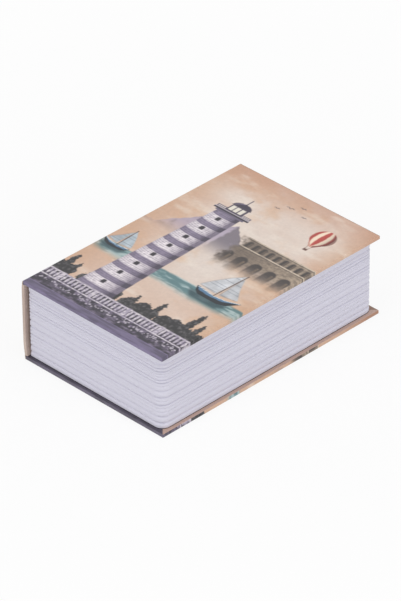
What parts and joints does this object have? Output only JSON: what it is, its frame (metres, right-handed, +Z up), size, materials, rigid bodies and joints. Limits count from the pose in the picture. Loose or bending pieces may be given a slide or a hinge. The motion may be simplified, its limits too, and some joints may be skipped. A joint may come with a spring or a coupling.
{
  "type": "book diversion safe",
  "caption": "Hardcover book whose cover swings open over a moulded page block holding a steel tray with a hinged lid and a keyed cam lock.",
  "frame": {"origin": "middle of the closed book's footprint, on the surface it lies on", "axes": "+Z up through the front cover, +Y from the tail to the head of the book, +X from the spine to the fore-edge"},
  "size_m": [0.1162, 0.18, 0.055],
  "materials": {
    "printed_paper": "film-laminated printed paper, satin",
    "spine_paper": "film-laminated paper, beige, satin",
    "greyboard": "raw pulp board",
    "lining_paper": "uncoated black lining paper",
    "white_plastic": "moulded, fine satin",
    "black_steel": "black powder coat",
    "zinc_steel": "zinc plated",
    "nickel": "bright nickel plated",
    "lock_brass": "turned, unpolished"
  },
  "bodies": {
    "base": {"back_wrap": "printed_paper", "back_board": "greyboard", "back_lining": "lining_paper", "back_joint_strip": "spine_paper", "page_block": "white_plastic", "steel_tray": "black_steel", "tray_hinge_leaf": "zinc_steel", "hinge_pin": "zinc_steel", "hinge_rivet_1": "zinc_steel", "hinge_rivet_2": "zinc_steel", "hinge_rivet_3": "zinc_steel", "strike_bracket": "zinc_steel", "strike_rivet_1": "zinc_steel", "strike_rivet_2": "zinc_steel"},
    "spine": {"spine_wrap": "spine_paper", "spine_board": "greyboard", "spine_lining": "lining_paper", "front_joint_strip": "spine_paper"},
    "front_cover": {"front_wrap": "printed_paper", "front_board": "greyboard", "front_lining": "lining_paper"},
    "lid": {"lid": "black_steel", "lid_hinge_leaf": "zinc_steel", "lid_rivet_1": "zinc_steel", "lid_rivet_2": "zinc_steel", "lid_rivet_3": "zinc_steel", "lock_housing": "nickel", "lock_washer": "zinc_steel", "lock_nut": "nickel"},
    "lock_rotor": {"lock_plug": "lock_brass", "cam": "zinc_steel", "cam_screw": "zinc_steel"}
  },
  "joints": [
    {"name": "spine_fold", "type": "hinge", "parent": "base", "child": "spine", "pos_m": [-0.05752, 0, 0.0006], "axis": [0, -1, 0], "range_deg": [0, 90], "deforming": ["back_joint_strip"]},
    {"name": "cover_open", "type": "hinge", "parent": "spine", "child": "front_cover", "pos_m": [-0.05752, 0, 0.0544], "axis": [0, -1, 0], "range_deg": [0, 90], "deforming": ["front_joint_strip"]},
    {"name": "lid_open", "type": "hinge", "parent": "base", "child": "lid", "pos_m": [-0.0447, 0, 0.049], "axis": [0, -1, 0], "range_deg": [0, 90]},
    {"name": "lock_turn", "type": "hinge", "parent": "lid", "child": "lock_rotor", "pos_m": [0.02813, 0, 0.0516], "axis": [0, 0, 1], "range_deg": [0, 90]}
  ],
  "couplings": [
    {"joint": "lid_open", "follows": "cover_open", "ratio": 1}
  ]
}
